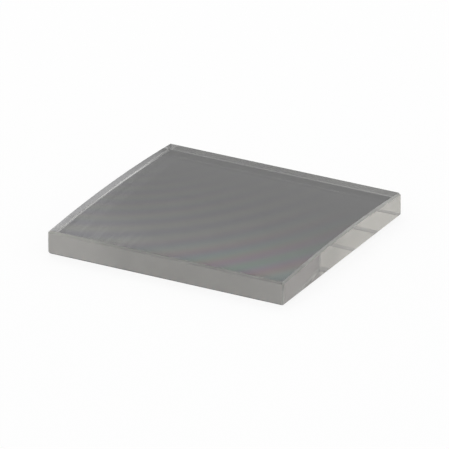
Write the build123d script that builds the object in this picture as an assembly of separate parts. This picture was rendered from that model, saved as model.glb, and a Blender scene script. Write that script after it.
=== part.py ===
from build123d import *
import os

# A rectangular plano-convex cylindrical lens: one piece of clear optical glass, lying on its flat face.
# X runs along the axis of the curved face, Y runs across the curve and Z is up.
# The origin is the middle of the flat face.
# All sizes are in millimetres.

# The block
length_along_axis = 32.0
width_across_curve = 30.0

# The curved face: the thickness under its crown, and the radius that it is ground to
centre_thickness = 3.5
curve_radius = 220.0

# The small 45 degree bevels that keep the sharp edges from chipping
curved_face_bevel = 0.25
flat_face_bevel = 0.2
corner_bevel = 0.2

# The section across the axis: a flat base, two upright walls and the shallow arc between them
half_width = width_across_curve / 2
curve_drop = curve_radius - (curve_radius**2 - half_width**2) ** 0.5
edge_thickness = centre_thickness - curve_drop

with BuildSketch(Plane.YZ) as section:
    with BuildLine():
        base = Line((-half_width, 0), (half_width, 0))
        back_wall = Line(base @ 1, (half_width, edge_thickness))
        crown = ThreePointArc(back_wall @ 1, (0, centre_thickness), (-half_width, edge_thickness))
        Line(crown @ 1, base @ 0)
    make_face()

# The section runs the whole length, half to each side of the origin
with BuildPart() as lens:
    extrude(section.sketch, amount=length_along_axis / 2, both=True)

    # The four upright corners are broken first, so that the bevels of both faces run round them
    corners = lens.edges().filter_by(Axis.Z)
    chamfer(corners, length=corner_bevel)

    curved_face = lens.faces().filter_by(GeomType.CYLINDER).sort_by(Axis.Z)[-1]
    chamfer(curved_face.edges(), length=curved_face_bevel)

    flat_face = lens.faces().sort_by(Axis.Z)[0]
    chamfer(flat_face.edges(), length=flat_face_bevel)

os.makedirs("parts", exist_ok=True)
export_step(lens.part, "parts/lens.step")

print("edge thickness", round(edge_thickness, 3))
print("volume in cubic millimetres", round(lens.part.volume, 2))
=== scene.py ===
"""A rectangular plano-convex cylindrical lens of clear optical glass, lying on its flat face."""
import logging
import math
from dataclasses import dataclass, field
from enum import Enum
from typing import Callable

import bmesh
import bpy
from mathutils import Matrix, Vector


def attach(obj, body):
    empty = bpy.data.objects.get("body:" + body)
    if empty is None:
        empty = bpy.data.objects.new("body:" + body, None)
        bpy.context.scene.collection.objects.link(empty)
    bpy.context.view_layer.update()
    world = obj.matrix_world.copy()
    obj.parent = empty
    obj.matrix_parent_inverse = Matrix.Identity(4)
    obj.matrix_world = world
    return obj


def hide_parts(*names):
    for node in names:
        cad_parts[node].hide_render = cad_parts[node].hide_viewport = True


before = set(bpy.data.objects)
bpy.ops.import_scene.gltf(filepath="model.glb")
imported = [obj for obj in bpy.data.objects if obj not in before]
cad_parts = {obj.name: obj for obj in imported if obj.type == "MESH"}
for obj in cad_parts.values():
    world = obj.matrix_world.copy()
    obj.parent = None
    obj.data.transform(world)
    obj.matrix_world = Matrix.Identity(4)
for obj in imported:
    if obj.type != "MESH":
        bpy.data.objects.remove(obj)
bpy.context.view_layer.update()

LOG = logging.getLogger("lens_scene")
BODY = "root"
CAD_NODE = "lens"
MM = 0.001
MOST_BOUNCES = 32
# The name of each bevel's factor of painted shade, which darkens it by its own amount.
EDGE_PAINTED_SHADE = "edge_painted_shade"

Triple = tuple[float, float, float]
Colour = Triple
Span = tuple[float, float]
Signs = tuple[int, int, int]

WHITE: Colour = (1.0, 1.0, 1.0)

# For patches, in millimetres: a span that doesn't limit, a place well beyond the plate, and a border that
# looks sharp
EVERYWHERE: Span = (-100.0, 100.0)
FAR = 40.0
SHARP = 0.1


class Surface(Enum):
    """The surfaces of the lens that are worked differently."""

    CURVED = "polished_curved_face"
    FLAT = "polished_flat_face"
    FRONT = "ground_front_wall"
    BACK = "ground_back_wall"
    LEFT = "left_end_wall"
    RIGHT = "right_end_wall"
    MATT_BEVEL = "matt_bevel"
    FINE_BEVEL = "fine_bevel"
    COARSE_BEVEL = "coarse_bevel"


def grey(level: float) -> Colour:
    """Gives a colour whose three primaries are alike."""
    return (level, level, level)


class Wiring:
    """A short hand for adding and joining the nodes of one node tree."""

    def __init__(self, tree: bpy.types.NodeTree) -> None:
        """Takes the tree that the nodes go into.

        Args:
            tree: the material's, the world's or the group's node tree.
        """
        self.tree = tree

    def add(self, kind: str, **settings: object) -> bpy.types.Node:
        """Adds a node.

        Args:
            kind: Blender's name of the node type.
            settings: the node's own properties, by name.

        Returns:
            The new node.
        """
        node = self.tree.nodes.new(kind)
        for name, value in settings.items():
            setattr(node, name, value)
        return node

    def put(self, value: object, socket: bpy.types.NodeSocket) -> None:
        """Joins an output to a socket, or writes a plain value on it.

        Args:
            value: an output socket, a number, a vector or a colour.
            socket: the input that takes it.
        """
        if isinstance(value, bpy.types.NodeSocket):
            self.tree.links.new(value, socket)
        elif isinstance(value, tuple) and len(value) == 3 and socket.type == "RGBA":
            socket.default_value = (*value, 1.0)
        else:
            socket.default_value = value

    def fill(self, node: bpy.types.Node, values: tuple[object, ...]) -> None:
        """Gives a node's inputs their values, in order.

        Args:
            node: the node.
            values: a socket or a plain value for each input, from the first on.
        """
        for value, socket in zip(values, node.inputs):
            self.put(value, socket)

    def math(self, operation: str, *values: object) -> bpy.types.NodeSocket:
        """Adds a Math node.

        Args:
            operation: what it works out.
            values: its inputs, sockets or numbers.

        Returns:
            Its output.
        """
        node = self.add("ShaderNodeMath", operation=operation)
        self.fill(node, values)
        return node.outputs["Value"]

    def vector(self, operation: str, *values: object, result: str = "Vector") -> bpy.types.NodeSocket:
        """Adds a Vector Math node.

        Args:
            operation: what it works out.
            values: its inputs, sockets or triples.
            result: the name of the output that is wanted.

        Returns:
            That output.
        """
        node = self.add("ShaderNodeVectorMath", operation=operation)
        self.fill(node, values)
        return node.outputs[result]

    def ramp(self, value: object, low: float, high: float, start: float, end: float) -> bpy.types.NodeSocket:
        """Adds a smooth Map Range node.

        Args:
            value: what is mapped.
            low: the value that gives start.
            high: the value that gives end.
            start: the result at low and below.
            end: the result at high and above.

        Returns:
            Its output.
        """
        node = self.add("ShaderNodeMapRange", interpolation_type="SMOOTHSTEP")
        names = ("Value", "From Min", "From Max", "To Min", "To Max")
        for given, name in zip((value, low, high, start, end), names):
            self.put(given, node.inputs[name])
        return node.outputs["Result"]

    def noise(self, place: object, breadth: object, detail: float) -> bpy.types.NodeSocket:
        """Adds a Noise Texture node.

        Args:
            place: where it is read.
            breadth: how broad its cells are, in the units of the place.
            detail: how many finer layers it has.

        Returns:
            Its height.
        """
        node = self.add("ShaderNodeTexNoise")
        self.put(place, node.inputs["Vector"])
        self.put(self.math("DIVIDE", 1.0, breadth), node.inputs["Scale"])
        self.put(detail, node.inputs["Detail"])
        return node.outputs["Fac"]

    def split(self, place: object) -> bpy.types.NodeOutputs:
        """Adds a Separate XYZ node.

        Args:
            place: the vector to be split.

        Returns:
            Its outputs, by axis.
        """
        node = self.add("ShaderNodeSeparateXYZ")
        self.put(place, node.inputs["Vector"])
        return node.outputs

    def mix_shaders(self, factor: object, first: object, second: object) -> bpy.types.NodeSocket:
        """Mixes two shaders.

        Args:
            factor: the share of the second one.
            first: the shader at 0.
            second: the shader at 1.

        Returns:
            The mixed shader.
        """
        node = self.add("ShaderNodeMixShader")
        self.fill(node, (factor, first, second))
        return node.outputs["Shader"]


def object_millimetres(wiring: Wiring) -> bpy.types.NodeSocket:
    """Reads the place on the lens, in millimetres.

    Args:
        wiring: the node tree that reads it.

    Returns:
        The place as a vector.
    """
    place = wiring.add("ShaderNodeTexCoord").outputs["Object"]
    scaled = wiring.add("ShaderNodeVectorMath", operation="SCALE")
    wiring.put(place, scaled.inputs["Vector"])
    wiring.put(1 / MM, scaled.inputs["Scale"])
    return scaled.outputs["Vector"]


class Effect:
    """A shader node group with named inputs and outputs, built once and placed in each material."""

    name = "effect"
    inputs: tuple[tuple[str, str, object], ...] = ()
    outputs: tuple[tuple[str, str], ...] = ()

    def tree(self) -> bpy.types.NodeTree:
        """Builds the group the first time, and finds it again after that.

        Returns:
            The group's node tree.
        """
        found = bpy.data.node_groups.get(self.name)
        if found:
            return found
        tree = bpy.data.node_groups.new(self.name, "ShaderNodeTree")
        for name, kind, value in self.inputs:
            socket = tree.interface.new_socket(name=name, in_out="INPUT", socket_type=kind)
            if value is not None:
                socket.default_value = value
        for name, kind in self.outputs:
            tree.interface.new_socket(name=name, in_out="OUTPUT", socket_type=kind)
        wiring = Wiring(tree)
        given = wiring.add("NodeGroupInput").outputs
        taken = wiring.add("NodeGroupOutput").inputs
        self.wire(wiring, given, taken)
        return tree

    def wire(self, wiring: Wiring, given: object, taken: object) -> None:
        """Joins the group's inputs to its outputs."""
        raise NotImplementedError

    def place(self, wiring: Wiring, **values: object) -> object:
        """Places the group in a material.

        Args:
            wiring: the material's node tree.
            values: its inputs, by name with underscores for spaces.

        Returns:
            The outputs of the placed group.
        """
        node = wiring.add("ShaderNodeGroup", node_tree=self.tree())
        for name, value in values.items():
            wiring.put(value, node.inputs[name.replace("_", " ")])
        return node.outputs


@dataclass(frozen=True)
class Wave:
    """How one primary of the rings swings with the distance from the middle ring, in millimetres.

    The swing grows by growth over the rings' reach. The pitch is in turns per millimetre, and the chirp is
    how much it changes per millimetre.
    """

    primary: str
    swing: float
    growth: float
    pitch: float
    chirp: float
    phase: float


class InterferenceRings(Effect):
    """Faint coloured rings, as thin layers show them: each primary has its own pitch."""

    name = "interference_rings"
    inputs = (
        ("Place", "NodeSocketVector", None),
        ("Centre", "NodeSocketVector", (-21.7, 15.9, 0.0)),
        ("Strength", "NodeSocketFloat", 1.0),
    )
    outputs = (("Color", "NodeSocketColor"),)
    roundness = 0.96
    middle = 30.0
    reach = 15.0
    waves = (
        Wave("Red", swing=0.075, growth=0.035, pitch=0.3083, chirp=-0.0038, phase=3.606),
        Wave("Green", swing=0.080, growth=0.015, pitch=0.3325, chirp=-0.0024, phase=3.635),
        Wave("Blue", swing=0.020, growth=0.025, pitch=0.3391, chirp=0.0012, phase=3.254),
    )

    def wire(self, wiring: Wiring, given: object, taken: object) -> None:
        """Turns the distance from the centre into one wave for each primary.

        Args:
            wiring: the group's node tree.
            given: the group's inputs.
            taken: the group's outputs.
        """
        away = wiring.vector("SUBTRACT", given["Place"], given["Centre"])
        flat = wiring.vector("MULTIPLY", away, (1.0, self.roundness, 0.0))
        beyond = wiring.math("SUBTRACT", wiring.vector("LENGTH", flat, result="Value"), self.middle)
        joined = wiring.add("ShaderNodeCombineColor")
        for wave in self.waves:
            pitch = wiring.math("MULTIPLY_ADD", beyond, wave.chirp, wave.pitch)
            turns = wiring.math("MULTIPLY", beyond, pitch)
            height = wiring.math("SINE", wiring.math("MULTIPLY_ADD", turns, math.tau, wave.phase))
            swing = wiring.math("MULTIPLY_ADD", beyond, wave.growth / self.reach, wave.swing)
            swing = wiring.math("MULTIPLY", wiring.math("MAXIMUM", swing, 0.0), given["Strength"])
            wiring.put(wiring.math("MULTIPLY_ADD", height, swing, 1.0), joined.inputs[wave.primary])
        wiring.put(joined.outputs["Color"], taken["Color"])


class GroundGrain(Effect):
    """The fine grain of a ground surface, as a height for its bump."""

    name = "ground_grain"
    inputs = (("Place", "NodeSocketVector", None), ("Pitch", "NodeSocketFloat", 0.08))
    outputs = (("Height", "NodeSocketFloat"),)
    detail = 3.0

    def wire(self, wiring: Wiring, given: object, taken: object) -> None:
        """Makes a noise whose cells are as wide as the pitch."""
        wiring.put(wiring.noise(given["Place"], given["Pitch"], self.detail), taken["Height"])


class Streaks(Effect):
    """Short streaks that run across the curve."""

    name = "streaks"
    inputs = (("Place", "NodeSocketVector", None), ("Pitch", "NodeSocketFloat", 0.6))
    outputs = (("Streak", "NodeSocketFloat"),)
    stretch = 0.1
    slant = 0.05
    detail = 1.0
    crests: Span = (0.46, 0.62)

    def wire(self, wiring: Wiring, given: object, taken: object) -> None:
        """Stretches a noise along Y, leans it a little, and keeps its crests.

        Args:
            wiring: the group's node tree.
            given: the group's inputs.
            taken: the group's outputs.
        """
        axes = wiring.split(given["Place"])
        joined = wiring.add("ShaderNodeCombineXYZ")
        wiring.put(wiring.math("MULTIPLY_ADD", axes["Y"], self.slant, axes["X"]), joined.inputs["X"])
        wiring.put(wiring.math("MULTIPLY", axes["Y"], self.stretch), joined.inputs["Y"])
        noise = wiring.noise(joined.outputs["Vector"], given["Pitch"], self.detail)
        wiring.put(wiring.ramp(noise, *self.crests, 0.0, 1.0), taken["Streak"])


class Clouds(Effect):
    """Broad, faint unevenness."""

    name = "clouds"
    inputs = (("Place", "NodeSocketVector", None), ("Breadth", "NodeSocketFloat", 2.9))
    outputs = (("Cloud", "NodeSocketFloat"),)
    detail = 2.0

    def wire(self, wiring: Wiring, given: object, taken: object) -> None:
        """Makes a noise as broad as asked."""
        wiring.put(wiring.noise(given["Place"], given["Breadth"], self.detail), taken["Cloud"])


@dataclass(frozen=True)
class Patch:
    """A patch of a surface that is clearer or duller than the rest. On a tint, a clearer patch is painted
    light and a duller one is painted shade.

    The gain is added to the factor of each primary. The ranges are in millimetres along X, Y and Z. Soft is
    how far their borders fade to each side, for each of the three axes.
    """

    gain: Colour
    along: Span = EVERYWHERE
    across: Span = EVERYWHERE
    up: Span = EVERYWHERE
    soft: Triple = (SHARP, SHARP, SHARP)

    def add_to(self, wiring: Wiring, place: bpy.types.NodeSocket, factor: object) -> bpy.types.NodeSocket:
        """Adds the patch to a factor.

        Args:
            wiring: the material's node tree.
            place: the place on the lens.
            factor: the factor of each primary so far.

        Returns:
            The factor with the patch in it.
        """
        return wiring.vector("MULTIPLY_ADD", self.mask(wiring, place), self.gain, factor)

    def mask(self, wiring: Wiring, place: bpy.types.NodeSocket) -> object:
        """Works out how far a point is inside all the ranges.

        Args:
            wiring: the material's node tree.
            place: the place on the lens.

        Returns:
            1 inside, 0 outside.
        """
        axes = wiring.split(place)
        mask: object = 1.0
        for axis, (low, high), soft in zip("XYZ", (self.along, self.across, self.up), self.soft):
            if (low, high) != EVERYWHERE:
                away = wiring.math("ABSOLUTE", wiring.math("SUBTRACT", axes[axis], (low + high) / 2))
                reach = (high - low) / 2
                inside = wiring.ramp(away, reach - soft, reach + soft, 1.0, 0.0)
                mask = wiring.math("MULTIPLY", mask, inside)
        return mask


@dataclass(frozen=True)
class Glass:
    """One finish of the glass: how clear it is to a ray that crosses the surface, and how smooth. Its tint
    darkens the clear glass, which is painted shade, and most of its patches paint light or shade onto it.
    """

    name: str
    tint: Colour
    roughness: float = 0.0
    clearness: float = 1.0
    index: float = 1.517
    clouds: float = 0.03
    cloud_heights: Span = (0.3, 0.7)
    patches: tuple[Patch, ...] = ()

    def material(self) -> bpy.types.Material:
        """Builds the material of this finish.

        Returns:
            A glass material.
        """
        material = bpy.data.materials.new(self.name)
        material.use_nodes = True
        wiring = Wiring(material.node_tree)
        shader = material.node_tree.nodes["Principled BSDF"]
        shader.inputs["Roughness"].default_value = self.roughness
        shader.inputs["IOR"].default_value = self.index
        shader.inputs["Transmission Weight"].default_value = self.clearness
        place = object_millimetres(wiring)
        factor: object = self.factor(wiring, place)
        for patch in self.patches:
            factor = patch.add_to(wiring, place, factor)
        wiring.put(wiring.vector("MULTIPLY", factor, self.tint), shader.inputs["Base Color"])
        normal = self.normal(wiring, place)
        if normal:
            wiring.put(normal, shader.inputs["Normal"])
        return material

    def factor(self, wiring: Wiring, place: bpy.types.NodeSocket) -> bpy.types.NodeSocket:
        """Works out what the tint is multiplied by, near 1 and faintly clouded, before the patches."""
        cloud = Clouds().place(wiring, Place=place)["Cloud"]
        return wiring.ramp(cloud, *self.cloud_heights, 1 - self.clouds, 1 + self.clouds)

    def normal(self, wiring: Wiring, place: bpy.types.NodeSocket) -> bpy.types.NodeSocket | None:
        """Works out the fine relief of the surface. Polished glass has none."""
        return None


@dataclass(frozen=True)
class CurvedFace(Glass):
    """The polished curved face: faint rings, stronger at one corner, and lighter streaks at the front left
    corner.
    """

    rings: Colour = grey(2.3)
    ring_patches: tuple[Patch, ...] = (
        Patch(grey(0.6), along=(2.0, FAR), across=(-FAR, -11.0), soft=(4.0, 4.0, SHARP)),
        Patch(grey(-0.9), along=(9.0, FAR), across=(-5.0, FAR), soft=(3.0, 3.0, SHARP)),
        Patch(grey(-1.3), across=(4.0, FAR), soft=(SHARP, 4.0, SHARP)),
    )
    # Lighter streaks at the front left corner, which raise the tint there.
    streaked_corner: Patch = Patch((0.3, 0.3, 0.28), along=(-FAR, -4.5), across=(-FAR, -11.3), soft=(2.0, 1.6, SHARP))

    def factor(self, wiring: Wiring, place: bpy.types.NodeSocket) -> bpy.types.NodeSocket:
        """Adds the rings to the clouds, and the lighter streaks of the front left corner.

        Args:
            wiring: the material's node tree.
            place: the place on the lens.

        Returns:
            The factor of each primary.
        """
        strength: object = self.rings
        for patch in self.ring_patches:
            strength = patch.add_to(wiring, place, strength)
        rings = InterferenceRings().place(wiring, Place=place, Strength=strength)["Color"]
        factor = wiring.vector("MULTIPLY", super().factor(wiring, place), rings)
        streak = Streaks().place(wiring, Place=place)["Streak"]
        streaked = wiring.math("MULTIPLY", streak, self.streaked_corner.mask(wiring, place))
        return wiring.vector("MULTIPLY_ADD", streaked, self.streaked_corner.gain, factor)


@dataclass(frozen=True)
class FlatFace(Glass):
    """The polished flat face, with painted shade that darkens it to the back and painted light at its front
    left corner.

    The clearness is middle at middle_y. From there, slope and bow change it along Y.
    """

    middle: float = 0.318
    middle_y: float = 3.2
    slope: float = 0.0178
    bow: float = 0.00062
    # Painted light at the front left corner.
    corner: Patch = Patch(grey(0.2), along=(-FAR, -9.5), across=(-FAR, -7.0), soft=(5.7, 5.7, 5.7))

    def factor(self, wiring: Wiring, place: bpy.types.NodeSocket) -> bpy.types.NodeSocket:
        """Works out the clearness from the place, which paints shade and light by place, and squares it,
        because light crosses twice.

        Args:
            wiring: the material's node tree.
            place: the place on the lens.

        Returns:
            The factor of each primary.
        """
        back = wiring.math("SUBTRACT", wiring.split(place)["Y"], self.middle_y)
        bent = wiring.math("MULTIPLY_ADD", back, self.bow, -self.slope)
        clear = wiring.math("MULTIPLY_ADD", back, bent, self.middle)
        clear = self.corner.add_to(wiring, place, clear)
        squared = wiring.vector("MULTIPLY", clear, clear)
        return wiring.vector("MULTIPLY", super().factor(wiring, place), squared)


@dataclass(frozen=True)
class GroundGlass(Glass):
    """A finely ground surface, a little cloudy, with a fine grain, whose sizes are in millimetres."""

    clouds: float = 0.06
    grain_pitch: float = 0.08
    grain_height: float = 0.002

    def normal(self, wiring: Wiring, place: bpy.types.NodeSocket) -> bpy.types.NodeSocket | None:
        """Raises the grain.

        Args:
            wiring: the material's node tree.
            place: the place on the lens.

        Returns:
            The bumped normal.
        """
        height = GroundGrain().place(wiring, Place=place, Pitch=self.grain_pitch)["Height"]
        bump = wiring.add("ShaderNodeBump")
        wiring.put(self.grain_height * MM, bump.inputs["Distance"])
        wiring.put(height, bump.inputs["Height"])
        return bump.outputs["Normal"]


@dataclass(frozen=True)
class GroundBevel(GroundGlass):
    """The ground bevels, each as clear as its edge says: painted shade that darkens each bevel by its own
    factor.
    """

    def factor(self, wiring: Wiring, place: bpy.types.NodeSocket) -> bpy.types.NodeSocket:
        """Reads how clear this edge's bevel is, the painted shade of that bevel."""
        edge = wiring.add("ShaderNodeAttribute", attribute_name=EDGE_PAINTED_SHADE)
        return wiring.math("MULTIPLY", super().factor(wiring, place), edge.outputs["Fac"])


def curved_face() -> CurvedFace:
    """Finishes the curved face, with a strip along its left edge painted far lighter, painted light that
    lets the light strip show, and other patches of painted light and shade.

    Returns:
        Its finish.
    """
    strip = (-FAR, -14.6)
    far_rim = (12.75, FAR)
    return CurvedFace(
        "polished_curved_face",
        # A dark grey tint: painted shade that makes the clear glass look grey.
        grey(0.048),
        patches=(
            # Painted light: the strip along the left edge, lighter still over its middle and back.
            Patch((4.5, 4.5, 4.6), along=strip),
            Patch((4.7, 4.7, 4.9), along=strip, across=(-3.5, FAR), soft=(SHARP, 6.0, SHARP)),
            Patch((5.0, 5.0, 5.1), along=strip, across=(-5.0, 7.0), soft=(SHARP, 4.0, SHARP)),
            # Painted shade at the back end of that strip.
            Patch((-6.5, -6.5, -6.7), along=strip, across=(12.6, FAR), soft=(SHARP, 0.4, SHARP)),
            # Painted light in a narrow band just inside the strip.
            Patch(grey(0.25), along=(-14.5, -13.2), across=(-8.0, 8.0), soft=(0.3, 3.0, SHARP)),
            # Painted shade along the far rim and in a band in front of it, and painted light at the far
            # rim's right end.
            Patch(grey(-0.25), across=far_rim),
            Patch(grey(-0.3), across=(10.5, 12.67), soft=(SHARP, 0.4, SHARP)),
            Patch((0.95, 0.95, 0.9), along=(7.0, FAR), across=far_rim, soft=(7.0, SHARP, SHARP)),
            Patch(grey(-0.25), across=(0.58, 0.72), soft=(0.06, 0.06, 0.06)),
        ),
    )


def flat_face() -> FlatFace:
    """Finishes the flat face.

    Returns:
        Its finish.
    """
    return FlatFace(
        "polished_flat_face",
        WHITE,
        # Painted shade: darker along the back rim, along the front rim, and at the front end of the left
        # edge.
        patches=(
            Patch(grey(-0.035), across=(13.0, FAR), soft=(1.0, 1.0, 1.0)),
            Patch(grey(-0.22), across=(-FAR, -12.0), soft=(1.0, 1.0, 1.0)),
            Patch(grey(-0.3), along=(-FAR, -15.25), across=(-FAR, -8.0), soft=(SHARP, 2.0, SHARP)),
        ),
    )


def walls() -> dict[Surface, Glass]:
    """Finishes the four upright walls.

    Returns:
        The finish of each.
    """
    # Painted light on the front wall: far lighter towards its left end, a little lighter at its right end.
    front_painted_light = (
        Patch(grey(1.12), along=(-FAR, -8.0), soft=(8.0, SHARP, SHARP)),
        Patch(grey(0.2), along=(12.0, FAR), soft=(4.0, SHARP, SHARP)),
    )
    # Painted shade on the right wall: a darker band, painting the boundary that the inside of the plate
    # shows.
    right_painted_shade = (Patch(grey(-0.36), across=(-6.6, -0.5), soft=(SHARP, 2.2, SHARP)),)
    # Each wall has its own tint, though all are one clear glass: painted shade, dark on the front wall and
    # darkest on the left one, near white on the back and right ones.
    return {
        Surface.FRONT: GroundGlass(
            "ground_front_wall", (0.1185, 0.115, 0.1155), roughness=0.5, patches=front_painted_light
        ),
        Surface.BACK: GroundGlass("ground_back_wall", (0.98, 0.97, 0.90), roughness=0.69),
        Surface.LEFT: Glass("polished_left_wall", (0.047, 0.0435, 0.0435), roughness=0.05),
        Surface.RIGHT: Glass("polished_right_wall", (0.98, 0.935, 0.86), clouds=0.05, patches=right_painted_shade),
    }


def bevels() -> dict[Surface, Glass]:
    """Finishes the three kinds of bevel.

    Returns:
        The finish of each.
    """
    tint = (1.0, 1.0, 0.97)
    rim = (2.0, 10.0)
    # Painted light on the upper front bevel towards the left, and painted shade on the upper bevels at the
    # front right.
    matt_light_and_shade = (
        Patch((0.2, 0.2, 0.19), along=(-FAR, -8.0), across=(-FAR, -14.7), up=rim, soft=(7.0, SHARP, SHARP)),
        Patch(grey(-0.08), along=(15.7, FAR), across=(-FAR, -8.0), up=rim, soft=(SHARP, 5.0, SHARP)),
    )
    # Painted shade on the lower left bevels towards the back.
    fine_painted_shade = (
        Patch(grey(-0.65), along=(-FAR, -15.7), across=(9.0, FAR), up=(-1.0, 1.0), soft=(SHARP, 3.0, SHARP)),
    )
    return {
        Surface.MATT_BEVEL: GroundBevel(
            "matt_bevel", tint, roughness=0.5, clearness=0.5, patches=matt_light_and_shade
        ),
        Surface.FINE_BEVEL: GroundBevel("fine_bevel", tint, roughness=0.3, patches=fine_painted_shade),
        Surface.COARSE_BEVEL: GroundBevel("coarse_bevel", tint, roughness=0.65),
    }


def finishes() -> dict[Surface, Glass]:
    """Gathers the finishes of the whole lens.

    Returns:
        The finish of each surface.
    """
    return {Surface.CURVED: curved_face(), Surface.FLAT: flat_face(), **walls(), **bevels()}


def select_where(mesh: bpy.types.Mesh, kind: str, test: Callable[[object], bool]) -> None:
    """Selects the vertices, edges or faces of the mesh in edit mode that pass a test.

    Args:
        mesh: the mesh that is being edited.
        kind: "verts", "edges" or "faces".
        test: says whether an element is taken.
    """
    modes = {"verts": "VERT", "edges": "EDGE", "faces": "FACE"}
    bpy.ops.mesh.select_mode(type=modes[kind])
    bpy.ops.mesh.select_all(action="DESELECT")
    work = bmesh.from_edit_mesh(mesh)
    for element in getattr(work, kind):
        if test(element):
            element.select_set(True)
    work.select_flush_mode()
    bmesh.update_edit_mesh(mesh)


@dataclass
class Lens:
    """The lens itself: a rectangular block with a cylindrical upper face and small bevels all round.

    The bevels are listed by the signs of their outward direction, each with its surface and how clear it is,
    a factor that darkens it: painted shade, which differs from bevel to bevel.
    """

    length: float = 32.0 * MM
    width: float = 30.0 * MM
    centre_thickness: float = 3.5 * MM
    radius: float = 220.0 * MM
    curved_bevel: float = 0.25 * MM
    flat_bevel: float = 0.2 * MM
    corner_bevel: float = 0.2 * MM
    arc_steps: int = 64
    near: float = 0.01 * MM
    weld: float = 0.001 * MM
    smooth_angle: float = math.radians(12)
    square_on: float = 0.95
    wall_rise: float = 0.1
    face_rise: float = 0.9
    bevels: dict[Signs, tuple[Surface, float]] = field(
        default_factory=lambda: {
            (0, -1, 1): (Surface.MATT_BEVEL, 0.13),
            (1, 0, 1): (Surface.MATT_BEVEL, 0.38),
            (0, 1, 1): (Surface.COARSE_BEVEL, 0.55),
            (-1, 0, 1): (Surface.FINE_BEVEL, 0.06),
            (0, -1, -1): (Surface.MATT_BEVEL, 0.04),
            (1, 0, -1): (Surface.MATT_BEVEL, 0.05),
            (0, 1, -1): (Surface.COARSE_BEVEL, 0.55),
            (-1, 0, -1): (Surface.FINE_BEVEL, 0.65),
            (1, -1, 0): (Surface.MATT_BEVEL, 0.30),
            (-1, -1, 0): (Surface.MATT_BEVEL, 0.15),
            (-1, 1, 0): (Surface.FINE_BEVEL, 0.10),
            (1, 1, 0): (Surface.FINE_BEVEL, 0.60),
        }
    )
    corner_tip: tuple[Surface, float] = (Surface.MATT_BEVEL, 0.3)
    pieces: list[bpy.types.Object] = field(default_factory=list)

    @property
    def half_angle(self) -> float:
        """The angle that half of the curved face spans."""
        return math.asin(self.width / 2 / self.radius)

    @property
    def edge_thickness(self) -> float:
        """The thickness at the two long walls, before the bevels."""
        return self.centre_thickness - self.radius * (1 - math.cos(self.half_angle))

    def build(self) -> bpy.types.Object:
        """Models the lens, from its section across the curve.

        Returns:
            The finished mesh object.
        """
        bpy.ops.object.select_all(action="DESELECT")
        edge, start = self.edge_thickness, -self.length / 2
        bpy.ops.mesh.primitive_plane_add(
            size=1.0, location=(start, 0, edge / 2), rotation=(0, math.pi / 2, 0)
        )
        lens = bpy.context.active_object
        lens.name = lens.data.name = "cylindrical_lens"
        lens.scale = (edge, self.width, 1)
        bpy.ops.object.transform_apply(location=True, rotation=True, scale=True)
        bpy.ops.object.mode_set(mode="EDIT")
        mesh = lens.data
        self.draw_section(mesh, start)
        bpy.ops.mesh.extrude_region_move(TRANSFORM_OT_translate={"value": (self.length, 0, 0)})
        bpy.ops.mesh.select_all(action="SELECT")
        bpy.ops.mesh.normals_make_consistent(inside=False)
        self.bevel_edges(mesh)
        bpy.ops.object.mode_set(mode="OBJECT")
        bpy.ops.object.shade_smooth_by_angle(angle=self.smooth_angle)
        self.pieces.append(lens)
        return lens

    def draw_section(self, mesh: bpy.types.Mesh, start: float) -> None:
        """Puts the arc in place of the upper side of a plane that stands on its end, and fills the outline.

        Args:
            mesh: the mesh in edit mode, which holds the plane.
            start: where the plane stands along X.
        """
        top = self.edge_thickness - self.near
        bpy.ops.mesh.select_all(action="SELECT")
        bpy.ops.mesh.delete(type="ONLY_FACE")
        select_where(mesh, "edges", lambda edge: all(vert.co.z > top for vert in edge.verts))
        bpy.ops.mesh.delete(type="EDGE")
        select_where(mesh, "verts", lambda vert: vert.co.z > top and vert.co.y < 0)
        bpy.ops.mesh.spin(
            steps=self.arc_steps,
            angle=2 * self.half_angle,
            center=(start, 0, self.centre_thickness - self.radius),
            axis=(1, 0, 0),
        )
        bpy.ops.mesh.select_all(action="SELECT")
        bpy.ops.mesh.remove_doubles(threshold=self.weld)
        bpy.ops.mesh.edge_face_add()

    def bevel_edges(self, mesh: bpy.types.Mesh) -> None:
        """Breaks the upright corners, then the rim of the curved face, then the rim of the flat one.

        Args:
            mesh: the mesh in edit mode.
        """

        def upright(edge: bmesh.types.BMEdge) -> bool:
            """Says whether an edge is one of the four upright corners."""
            first, second = (vert.co for vert in edge.verts)
            return abs(first.z - second.z) > self.edge_thickness / 2

        def rim(edge: bmesh.types.BMEdge, side: int) -> bool:
            """Says whether an edge parts the curved face (side 1) or the flat one (side -1) from a wall."""
            heights = sorted(face.normal.z * side for face in edge.link_faces)
            return heights[0] < self.wall_rise and heights[-1] > self.face_rise

        for test, offset in (
            (upright, self.corner_bevel),
            (lambda edge: rim(edge, 1), self.curved_bevel),
            (lambda edge: rim(edge, -1), self.flat_bevel),
        ):
            select_where(mesh, "edges", test)
            bpy.ops.mesh.bevel(offset=offset, segments=1, affect="EDGES", clamp_overlap=False)

    def dress(self, glasses: dict[Surface, Glass]) -> None:
        """Gives every face the finish of its surface, and every bevel its clearness, which is painted shade.

        Args:
            glasses: the finish of each surface.
        """
        mesh = self.pieces[0].data
        clearness = mesh.attributes.new(EDGE_PAINTED_SHADE, "FLOAT", "FACE")
        order = list(Surface)
        for surface in order:
            mesh.materials.append(glasses[surface].material())
        for face in mesh.polygons:
            x, y, z = face.normal
            if abs(z) > self.square_on:
                surface = Surface.CURVED if z > 0 else Surface.FLAT
            elif abs(y) > self.square_on:
                surface = Surface.FRONT if y < 0 else Surface.BACK
            elif abs(x) > self.square_on:
                surface = Surface.LEFT if x < 0 else Surface.RIGHT
            else:
                signs = tuple(round(value / max(map(abs, face.normal))) for value in face.normal)
                surface, clearness.data[face.index].value = self.bevels.get(signs, self.corner_tip)
            face.material_index = order.index(surface)

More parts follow.
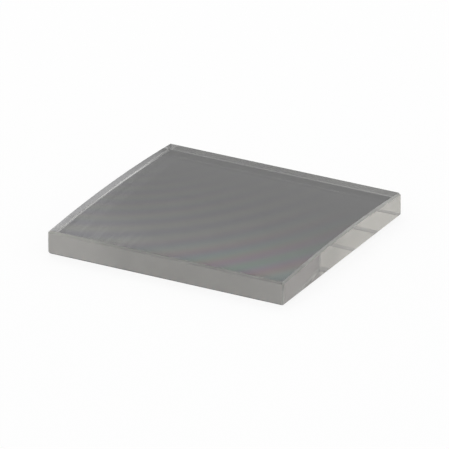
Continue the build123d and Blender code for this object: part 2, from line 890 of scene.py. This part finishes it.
    def attach(self) -> None:
        """Fastens the pieces to the frame and reports them."""
        for piece in self.pieces:
            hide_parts(CAD_NODE)
            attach(piece, BODY)
            LOG.info("%s: %d faces", piece.name, len(piece.data.polygons))


@dataclass
class Studio:
    """The plain white floor, the even white surroundings and one soft lamp."""

    floor_size: float = 6.0
    floor_drop: float = 0.02 * MM
    floor_colour: Colour = (0.9, 0.9, 0.9)
    shadow_share: float = 0.12
    fill_strength: float = 0.85
    lamp_power: float = 1.2
    lamp_size: float = 0.4
    lamp_place: Triple = (-0.25, 0.35, 0.6)

    def build(self) -> None:
        """Makes the floor, the world and the lamp."""
        bpy.ops.object.select_all(action="DESELECT")
        bpy.ops.mesh.primitive_plane_add(size=self.floor_size, location=(0, 0, -self.floor_drop))
        floor = bpy.context.active_object
        floor.name = "studio_floor"
        floor.data.materials.append(self.floor_material())
        self.world()
        self.lamp()
        LOG.info("studio: floor, world and lamp")

    def seen_white(self, wiring: Wiring, camera_share: float) -> bpy.types.NodeSocket:
        """Works out how far a ray sees plain white: the bounced rays wholly, the camera's in part.

        Args:
            wiring: the node tree it is for.
            camera_share: the share for a ray straight from the camera.

        Returns:
            A factor from 0 to 1.
        """
        path = wiring.add("ShaderNodeLightPath").outputs
        camera = wiring.math("MULTIPLY", path["Is Camera Ray"], camera_share)
        bounced = wiring.math("MAXIMUM", path["Is Glossy Ray"], path["Is Transmission Ray"])
        return wiring.math("MAXIMUM", camera, bounced)

    def floor_material(self) -> bpy.types.Material:
        """Builds the white floor, which keeps a part of the lens's shadow.

        Returns:
            The floor's material.
        """
        material = bpy.data.materials.new("white_floor")
        material.use_nodes = True
        material.node_tree.nodes.clear()
        wiring = Wiring(material.node_tree)
        matt = wiring.add("ShaderNodeBsdfDiffuse")
        wiring.put(self.floor_colour, matt.inputs["Color"])
        white = wiring.add("ShaderNodeEmission")
        factor = self.seen_white(wiring, 1 - self.shadow_share)
        mixed = wiring.mix_shaders(factor, matt.outputs["BSDF"], white.outputs["Emission"])
        out = wiring.add("ShaderNodeOutputMaterial")
        wiring.put(mixed, out.inputs["Surface"])
        return material

    def world(self) -> None:
        """Builds the white surroundings."""
        world = bpy.data.worlds.new("white_surroundings")
        bpy.context.scene.world = world
        world.use_nodes = True
        world.node_tree.nodes.clear()
        wiring = Wiring(world.node_tree)
        fill = wiring.add("ShaderNodeBackground")
        wiring.put(self.fill_strength, fill.inputs["Strength"])
        wiring.put(WHITE, fill.inputs["Color"])
        white = wiring.add("ShaderNodeBackground")
        wiring.put(WHITE, white.inputs["Color"])
        factor = self.seen_white(wiring, 1.0)
        mixed = wiring.mix_shaders(factor, fill.outputs["Background"], white.outputs["Background"])
        out = wiring.add("ShaderNodeOutputWorld")
        wiring.put(mixed, out.inputs["Surface"])

    def lamp(self) -> None:
        """Hangs one large soft lamp over the lens."""
        data = bpy.data.lights.new("soft_lamp", "AREA")
        data.energy = self.lamp_power
        data.size = self.lamp_size
        lamp = bpy.data.objects.new("soft_lamp", data)
        bpy.context.scene.collection.objects.link(lamp)
        lamp.location = self.lamp_place
        lamp.rotation_euler = Vector(self.lamp_place).to_track_quat("Z", "Y").to_euler()


@dataclass
class Viewpoint:
    """Where the photograph is taken from: a long lens, well above the table. The angles are in degrees."""

    azimuth: float = 28.885
    elevation: float = 24.0217
    roll: float = -0.2871
    distance: float = 903.53 * MM
    focal_length: float = 603.213
    sensor: float = 36.0
    aim: Triple = (-0.3278 * MM, 0.3610 * MM, 1.0645 * MM)
    clip: Span = (0.05, 10.0)

    def build(self) -> None:
        """Places the camera."""
        around, above, turn = (math.radians(angle) for angle in (self.azimuth, self.elevation, self.roll))
        back = Vector(
            (math.sin(around) * math.cos(above), -math.cos(around) * math.cos(above), math.sin(above))
        )
        right = Vector((0, 0, 1)).cross(back).normalized()
        up = back.cross(right)
        right, up = (
            math.cos(turn) * right + math.sin(turn) * up,
            math.cos(turn) * up - math.sin(turn) * right,
        )
        data = bpy.data.cameras.new("camera")
        data.lens = self.focal_length
        data.sensor_width = self.sensor
        data.clip_start, data.clip_end = self.clip
        camera = bpy.data.objects.new("camera", data)
        bpy.context.scene.collection.objects.link(camera)
        turned = Matrix((right, up, back)).transposed().to_4x4()
        camera.matrix_world = Matrix.Translation(Vector(self.aim) + back * self.distance) @ turned
        bpy.context.scene.camera = camera
        LOG.info("camera at %s", tuple(round(value, 4) for value in camera.location))


def let_light_through() -> None:
    """Lets a ray be reflected inside the plate as often as it needs, from wall to wall."""
    paths = bpy.context.scene.cycles
    paths.max_bounces = paths.glossy_bounces = paths.transmission_bounces = MOST_BOUNCES


def main() -> None:
    """Builds the view, the lens and its surroundings."""
    logging.basicConfig(level=logging.INFO, format="%(message)s")
    bpy.context.scene.view_settings.view_transform = "Standard"
    let_light_through()
    Viewpoint().build()
    lens = Lens()
    lens.build()
    lens.dress(finishes())
    lens.attach()
    Studio().build()


if __name__ == "__main__":
    main()
